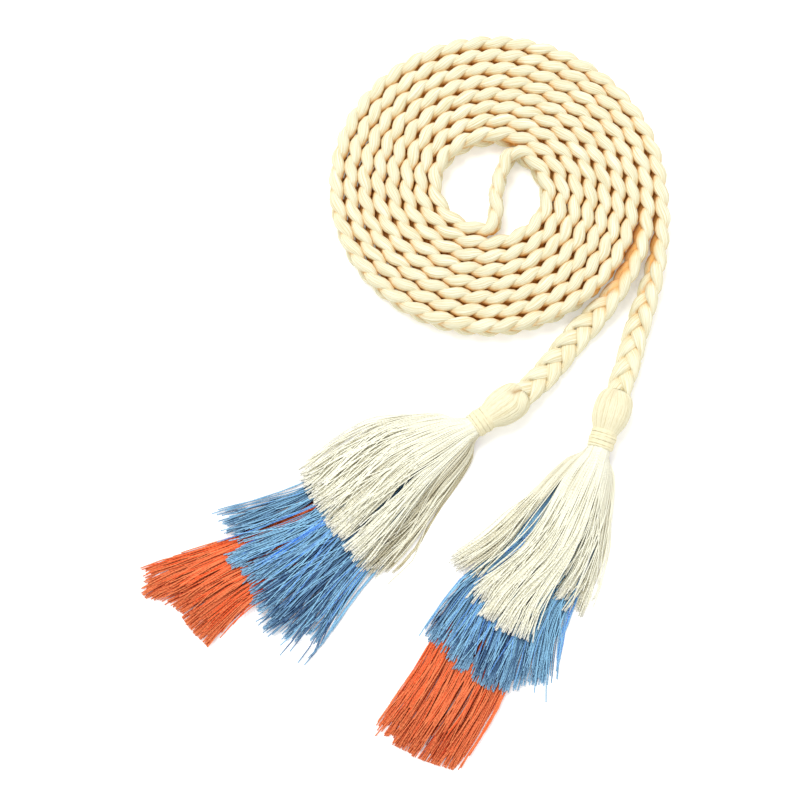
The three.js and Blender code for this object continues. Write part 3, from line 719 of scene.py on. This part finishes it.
for side in ("left", "right"):
    paths, groove = head_paths(side, random)
    tones = np.where(random.random(HEAD_YARNS) < DARK_YARNS, DARK_TONE, PALE_TONE)
    tones = tones + TONE_WIDTH * random.random(HEAD_YARNS)
    # The groove's painted shade rides on the yarns as their depth
    tubes(f"{side}_head_yarns", rings_of(placed(side, paths), YARN_RADIUS * MM, YARN_SIDES),
          tones, "cream_thread", f"{side}_tassel_cream",
          deep=np.repeat(groove[..., None], YARN_SIDES, axis=2))

# %% [markdown]
# ## Neck bindings
# A binding is one thread wound tightly round the neck. A helix is that thread's path, and a tube
# round it shows every turn with a groove between, which a plain ring would not. Nobody winds a thread
# quite evenly, so the turns slant a little and two slow waves shift them along and in and out.

# %% Size of the winding, in millimetres
BINDING_TURNS = 12.5
BINDING_STATIONS = 30  # for each turn
BINDING_THREAD_RADIUS = 0.25
BINDING_THREAD_SIDES = 10
BINDING_PATH_RADIUS = 3.1
BINDING_WAIST = 0.07  # how much thinner the winding is at its two ends
BINDING_SLANT = 0.35
BINDING_WAVE = 0.09
WAVES_ALONG, WAVES_OUT = 0.63, 0.83  # for each turn

# %% Make the bindings
for side in ("left", "right"):
    t = np.linspace(0, 1, round(BINDING_TURNS * BINDING_STATIONS) + 1)
    turn = 2 * math.pi * BINDING_TURNS * t
    half = BINDING_LENGTH / MM / 2 - BINDING_THREAD_RADIUS
    x = -half + 2 * half * t + BINDING_SLANT * np.sin(turn)
    x = np.clip(x + BINDING_WAVE * np.sin(WAVES_ALONG * turn + 1), -half, half)
    radius = BINDING_PATH_RADIUS * (1 - BINDING_WAIST * (2 * t - 1) ** 4)
    radius = radius + BINDING_WAVE * np.sin(WAVES_OUT * turn)
    winding = np.stack((x, radius * np.cos(turn), HEAD_RADIUS / MM + radius * np.sin(turn)), axis=-1)
    rings = rings_of(placed(side, winding[None]), BINDING_THREAD_RADIUS * MM, BINDING_THREAD_SIDES)
    tubes(f"{side}_binding_thread", rings, np.zeros(1), "binding_thread", f"{side}_neck_binding")

# %% [markdown]
# ## Arithmetic for materials
# A material is a graph of nodes. Written out node by node it is hard to read, so a small class stands
# for one output of a node, and adding or multiplying two of them adds the Math node for it.


# %% Wires
class Wire:
    """One output of a node. Arithmetic on wires and numbers adds Math nodes."""

    def __init__(self, socket):
        self.socket = socket

    def node(self, kind, settings=None, inputs=None, output=0):
        """Adds a node to the same material: its settings first, then its sockets' values or links."""
        made = self.socket.id_data.nodes.new(kind)
        for name, value in (settings or {}).items():
            if name == "stops":
                ramp = made.color_ramp.elements
                for place, colour in value[2:]:
                    ramp.new(place)
                for stop, (place, colour) in zip(ramp, value):
                    stop.position, stop.color = place, colour
            else:
                setattr(made, name, value)
        for name, value in (inputs or {}).items():
            if isinstance(value, Wire):
                self.socket.id_data.links.new(value.socket, made.inputs[name])
            else:
                made.inputs[name].default_value = value
        return Wire(made.outputs[output])

    def math(self, operation, *values):
        return self.node("ShaderNodeMath", {"operation": operation}, dict(enumerate(values)))

    def through(self, operation):
        """This wire through a function of one number, such as SINE."""
        return self.math(operation, self)

    def __add__(self, other):
        return self.math("ADD", self, other)

    def __sub__(self, other):
        return self.math("SUBTRACT", self, other)

    def __rsub__(self, other):
        return self.math("SUBTRACT", other, self)

    def __mul__(self, other):
        return self.math("MULTIPLY", self, other)

    def __pow__(self, other):
        return self.math("POWER", self, other)

    __radd__ = __add__
    __rmul__ = __mul__


# %% Start and finish a material
BUMP_STRENGTH = 0.6
SHEEN_ROUGHNESS = 0.4
SPECULAR = 0.03  # cotton has next to no gloss


def rgb(red, green, blue):
    """A full colour, as the sockets take it."""
    return (red, green, blue, 1)


def attribute(wire, name):
    """A number that rides on the points of a mesh."""
    return wire.node("ShaderNodeAttribute", {"attribute_name": name}, None, "Fac")


def noise(u, x, y, z, detail):
    """Noise from 0 to 1 on three wires."""
    place = u.node("ShaderNodeCombineXYZ", None, {"X": x, "Y": y, "Z": z})
    return u.node("ShaderNodeTexNoise", None, {"Vector": place, "Scale": 1.0, "Detail": detail})


def stretched(wire, low, high):
    """0 below low, 1 above high and a straight slope between."""
    return wire.node("ShaderNodeMapRange", None, {"Value": wire, "From Min": low, "From Max": high})


def start(name):
    """A new material, with wires for U along a thread, V round it and the thread's own tone."""
    made = bpy.data.materials.new(name)
    made.use_nodes = True
    map_node = made.node_tree.nodes.new("ShaderNodeUVMap")
    map_node.uv_map = "UVMap"
    uv = Wire(map_node.outputs[0])
    u = uv.node("ShaderNodeSeparateXYZ", None, {0: uv}, "X")
    v = uv.node("ShaderNodeSeparateXYZ", None, {0: uv}, "Y")
    tone = attribute(uv, "tone")
    return made, u, v, tone


# A Mix node has sockets for numbers, vectors and colours, and these are its colour ones
MIX_FACTOR, MIX_A, MIX_B, MIX_RESULT = 0, 6, 7, 2


def mix(factor, a, b):
    """A colour between two others."""
    inputs = {MIX_FACTOR: factor, MIX_A: a, MIX_B: b}
    return factor.node("ShaderNodeMix", {"data_type": "RGBA"}, inputs, MIX_RESULT)


def finish(made, base, height, depth, roughness, sheen):
    """Joins colour and bump to the shader, and sets its plain numbers."""
    shader = made.node_tree.nodes["Principled BSDF"]
    links = made.node_tree.links
    links.new(base.socket, shader.inputs["Base Color"])
    inputs = {"Strength": BUMP_STRENGTH, "Distance": depth, "Height": height}
    bump = base.node("ShaderNodeBump", None, inputs)
    links.new(bump.socket, shader.inputs["Normal"])
    shader.inputs["Roughness"].default_value = roughness
    shader.inputs["Sheen Weight"].default_value = sheen
    shader.inputs["Sheen Roughness"].default_value = SHEEN_ROUGHNESS
    shader.inputs["Specular IOR Level"].default_value = SPECULAR


# %% [markdown]
# ## Cotton of the braid
# Loose cotton yarn is warm ivory, with fine fibres that run along it. Where it dips between two yarns
# it is painted more yellow, a painted stand-in for the shade and the light that bounces there several
# times, and deep between two strands it is painted a glowing brown, as painted shade and bounce light.
# The UV map gives the first two patterns: V counts the yarns round a strand, and noise stretched along
# U draws the fibres. The depth was stored on the points when the strands were made, so the painted
# brown follows the plait by itself.

# %% Patterns of the braid
FIBRES_ALONG, FIBRES_ROUND = 220, 50
FIBRE_LOW, FIBRE_HIGH = 0.36, 0.6  # the part of the noise that makes fibres
PATCHES_ALONG, PATCHES_ROUND = 60, 3
STRANDS_APART = 9  # so that the three strands don't share one pattern
DIP_SHARPNESS = 4

cotton, u, v, tone = start("braid_cotton")
grain = noise(u, u * FIBRES_ALONG, v * FIBRES_ROUND, tone * STRANDS_APART, detail=3.0)
fibres = stretched(grain, FIBRE_LOW, FIBRE_HIGH)
patches = noise(u, u * PATCHES_ALONG, v * PATCHES_ROUND, tone * STRANDS_APART, detail=2.0)
beside = (v * YARNS).through("FRACT")
dip = (2 * (beside - 0.5)).through("ABSOLUTE") ** DIP_SHARPNESS

# %% Braid material
# The patches are the cotton's own tone; the other two shares are painted shade: yellower in the dips
# between yarns, brown deep between strands
PATCH_SHARE, DIP_SHADE_SHARE, DEEP_SHADE_SHARE = 0.25, 0.3, 0.9
YARN_HEIGHT = 0.6  # of the yarns in the bump, where the fibres' height is 1

ivory = mix(fibres, rgb(0.7, 0.62, 0.36), rgb(0.94, 0.94, 0.77))
warm = mix(patches * PATCH_SHARE, ivory, rgb(0.82, 0.72, 0.42))
# Painted shade and bounce light: dips between yarns painted yellower, deep places between strands
# painted a glowing brown
dip_shaded = mix(dip * DIP_SHADE_SHARE, warm, rgb(0.7, 0.55, 0.27))
shaded = mix(attribute(u, "deep") * DEEP_SHADE_SHARE, dip_shaded, rgb(0.95, 0.52, 0.13))
finish(cotton, shaded, fibres + (1 - dip) * YARN_HEIGHT, depth=0.12 * MM, roughness=0.85, sheen=0.05)
braid.data.materials.append(cotton)
print("nodes in the braid's material:", len(cotton.node_tree.nodes))

# %% [markdown]
# ## Threads of the tassels
# Each thread is two fine plies twisted together. The twist is a slanted stripe: V plus a multiple of
# U. Every thread has its own tone, so that neighbours can be told apart, and a ramp turns tones into
# three colours. The top of each thread is painted paler, as a painted highlight, and its sides and
# underside darker, as painted shade. V tells the top from the sides, because every tube starts its
# first ring at its right. Where a mesh carries a depth, it is painted towards a shadow colour, as
# painted shade. Cut ends fray, so they fade towards a paler colour.


# %% Thread material
FRAYED_FROM, FRAYED = 0.965, 0.7
PAINTED_LIGHT_LEVEL = 0.8  # how far up a thread's side the painted top light neither lightens nor darkens it: painted highlight above, painted shade below
PLY_DEPTH = 0.05 * MM
GRAIN_ALONG, GRAIN_ROUND, THREADS_APART = 9, 2, 37


def thread_material(name, shades, tip, shadow, roughness, twists, mottling=0.2, painted_top_light=0.0):
    """A thread finish. shades are its darkest, middle and lightest colours."""
    made, u, v, tone = start(name)
    slant = v * 2 + u * twists
    ply = (slant * math.pi * 2).through("SINE")
    mottle = noise(u, u * GRAIN_ALONG, v * GRAIN_ROUND, tone * THREADS_APART, detail=2.0)
    stops = [(0, shades[0]), (1, shades[2]), (0.5, shades[1])]
    # Painted highlight along a thread's top and painted shade on its sides and underside, found from V
    upper = (v * 2 * math.pi).through("SINE") * 0.5 + 0.5
    shade = tone * (1 - mottling) + mottle * mottling + (upper - PAINTED_LIGHT_LEVEL) * painted_top_light
    body = u.node("ShaderNodeValToRGB", {"stops": stops}, {0: shade})
    # Painted shade: towards the shadow colour where the mesh carries a depth
    body = mix(attribute(u, "deep"), body, shadow)
    body = mix(stretched(u, FRAYED_FROM, 1.0) * FRAYED, body, tip)
    finish(made, body, ply, PLY_DEPTH, roughness, sheen=0)
    return made


# %% Colours of the threads
# Colours of painted shade, mixed in where a mesh carries a depth
SHADE_BROWN = rgb(0.45, 0.24, 0.07)
SHADE_NIGHT_BLUE = rgb(0.003, 0.02, 0.15)
SHADE_DEEP_RED = rgb(0.4, 0.01, 0.001)
LOOKS = {
    "cream": thread_material(
        "cream_thread", (rgb(0.48, 0.4, 0.2), rgb(0.96, 0.92, 0.66), rgb(1, 0.99, 0.84)),
        rgb(1, 0.98, 0.9), SHADE_BROWN, roughness=0.6, twists=60, painted_top_light=0.3),
    "blue": thread_material(
        "blue_thread", (rgb(0.001, 0.012, 0.13), rgb(0.01, 0.13, 0.7), rgb(0.38, 0.74, 1)),
        rgb(0.42, 0.74, 1), SHADE_NIGHT_BLUE, roughness=0.45, twists=80, painted_top_light=0.9),
    "orange": thread_material(
        "orange_thread", (rgb(0.5, 0.004, 0.0005), rgb(0.86, 0.06, 0.008), rgb(0.99, 0.3, 0.12)),
        rgb(1, 0.3, 0.12), SHADE_DEEP_RED, roughness=0.45, twists=100, painted_top_light=0.7),
    "binding": thread_material(
        "binding_thread", (rgb(0.84, 0.77, 0.53), rgb(0.92, 0.87, 0.66), rgb(0.96, 0.94, 0.77)),
        rgb(0.9, 0.86, 0.65), SHADE_BROWN, roughness=0.75, twists=150),
    "head": thread_material(
        "head_yarn", (rgb(0.56, 0.45, 0.2), rgb(0.91, 0.88, 0.6), rgb(0.98, 0.97, 0.78)),
        rgb(0.95, 0.92, 0.72), SHADE_BROWN, roughness=0.75, twists=0, mottling=0.6),
}

# %% Give each piece its finish
for (side, colour), piece in threads.items():
    piece.data.materials.append(LOOKS[colour])
for side in ("left", "right"):
    bpy.data.objects[f"{side}_head_yarns"].data.materials.append(LOOKS["head"])
    bpy.data.objects[f"{side}_binding_thread"].data.materials.append(LOOKS["binding"])
print("finishes:", ", ".join(LOOKS))

# %% [markdown]
# ## Floor and light
# The belt lies on a plain white surface under soft light from the upper left. A big lamp close by
# gives shadows with soft edges, and a bright sky fills them. The surface also has a faint glow of its
# own, as a light table has, so the shadows on it stay nearly white.

# %% Floor
FLOOR_HALF = 3
FLOOR_WHITE = rgb(0.95, 0.95, 0.95)
FLOOR_ROUGHNESS = 0.9
FLOOR_GLOW = 0.2

bm = bmesh.new()
bmesh.ops.create_grid(bm, x_segments=1, y_segments=1, size=FLOOR_HALF)
floor_mesh = bpy.data.meshes.new("floor")
bm.to_mesh(floor_mesh)
bm.free()
floor = bpy.data.objects.new("floor", floor_mesh)
bpy.context.scene.collection.objects.link(floor)
paper = bpy.data.materials.new("floor_paper")
paper.use_nodes = True
sockets = paper.node_tree.nodes["Principled BSDF"].inputs
sockets["Base Color"].default_value = FLOOR_WHITE
sockets["Roughness"].default_value = FLOOR_ROUGHNESS
sockets["Emission Color"].default_value = rgb(1, 1, 1)
sockets["Emission Strength"].default_value = FLOOR_GLOW
floor_mesh.materials.append(paper)


# %% Lamps and sky
def lamp(name, place, size, power):
    """A square area lamp that faces the middle of the belt."""
    data = bpy.data.lights.new(name, "AREA")
    data.energy = power
    data.size = size
    made = bpy.data.objects.new(name, data)
    made.location = place
    made.rotation_euler = (VIEW_TARGET - Vector(place)).to_track_quat("-Z", "Y").to_euler()
    bpy.context.scene.collection.objects.link(made)


SKY_STRENGTH = 0.78

lamp("key", (-0.3, 0.35, 1), size=0.5, power=8)
lamp("fill", (0.7, -0.5, 0.7), size=0.8, power=1)
sky = bpy.data.worlds.new("sky")
sky.use_nodes = True
sky.node_tree.nodes["Background"].inputs["Color"].default_value = rgb(1, 1, 1)
sky.node_tree.nodes["Background"].inputs["Strength"].default_value = SKY_STRENGTH
bpy.context.scene.world = sky
bpy.context.scene.view_settings.view_transform = "Standard"
